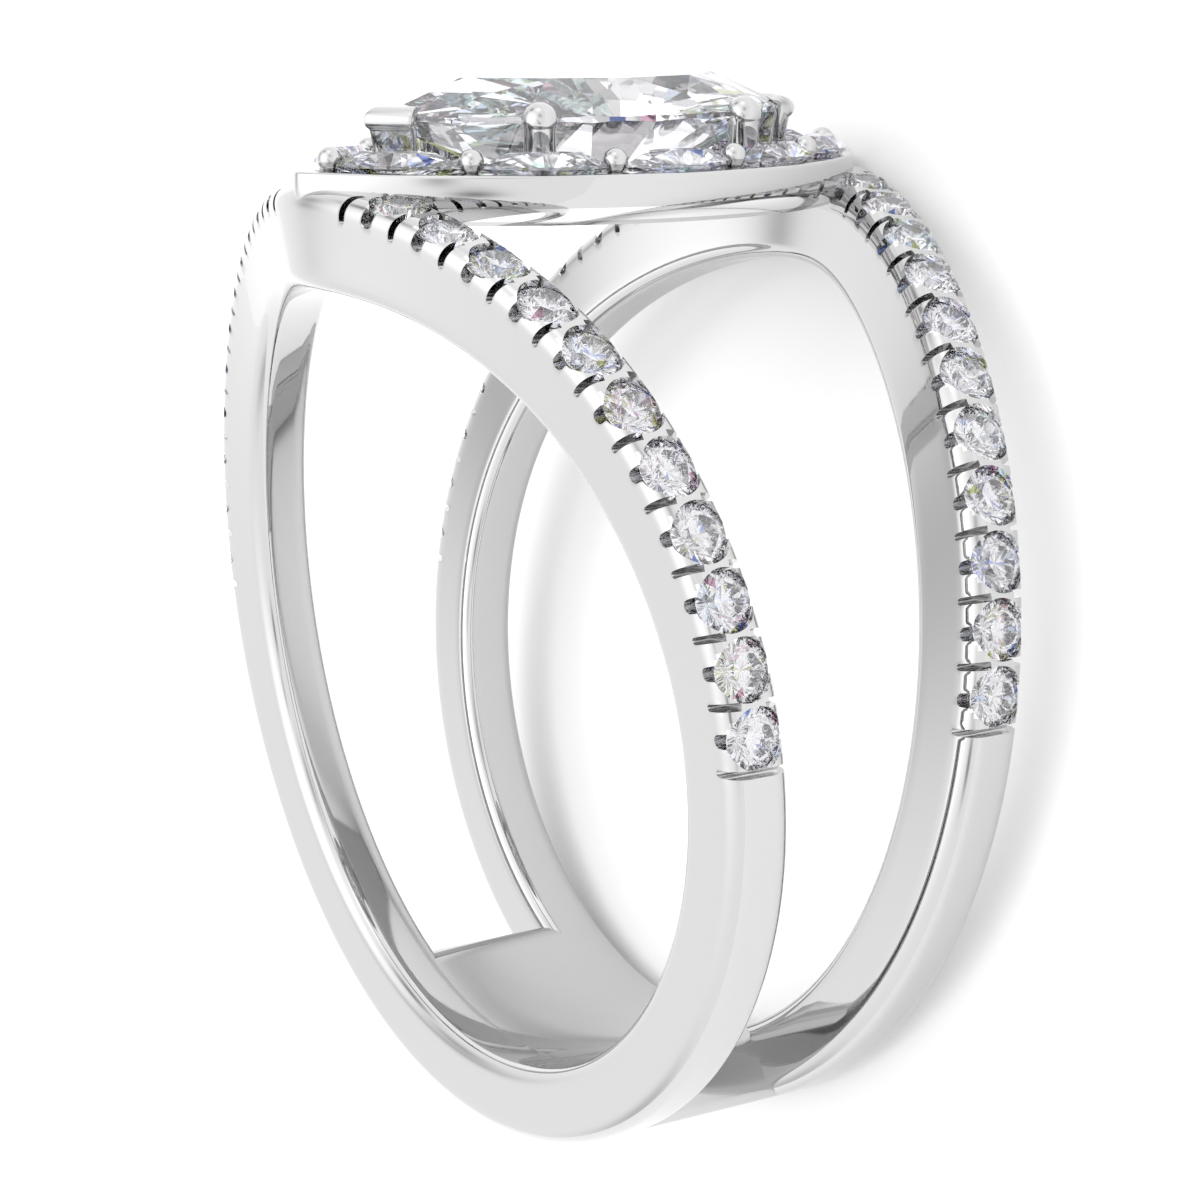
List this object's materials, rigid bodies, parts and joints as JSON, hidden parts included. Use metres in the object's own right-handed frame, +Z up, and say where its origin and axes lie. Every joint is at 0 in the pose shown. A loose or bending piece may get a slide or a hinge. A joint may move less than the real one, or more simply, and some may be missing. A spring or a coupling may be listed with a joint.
{
  "type": "split halo ring",
  "caption": "Ring of two rails that spread from foot to head, stone-set on the shoulders, with a marquise stone in a pointed-oval halo; lies on its side.",
  "frame": {"origin": "centre of the finger hole, midway between the two rails", "axes": "the ring lies on its side as it rests: +X to one shoulder, +Y along the surface towards the head, +Z straight up; the finger hole's axis leans 11.65 degrees from +Z"},
  "size_m": [0.0208, 0.0234, 0.0139],
  "materials": {
    "white_gold": "mirror-polished white gold",
    "center_diamond": "cut and polished, colourless",
    "halo_diamond": "cut and polished, colourless",
    "row_diamond": "cut and polished, colourless"
  },
  "bodies": {
    "root": {"mounting": "white_gold", "center_stone": "center_diamond", "halo_stone_1": "halo_diamond", "halo_stone_2": "halo_diamond", "halo_stone_3": "halo_diamond", "halo_stone_4": "halo_diamond", "halo_stone_5": "halo_diamond", "halo_stone_6": "halo_diamond", "halo_stone_7": "halo_diamond", "halo_stone_8": "halo_diamond", "halo_stone_9": "halo_diamond", "halo_stone_10": "halo_diamond", "pave_upper_right": "row_diamond", "pave_upper_left": "row_diamond", "pave_lower_right": "row_diamond", "pave_lower_left": "row_diamond"}
  },
  "joints": []
}
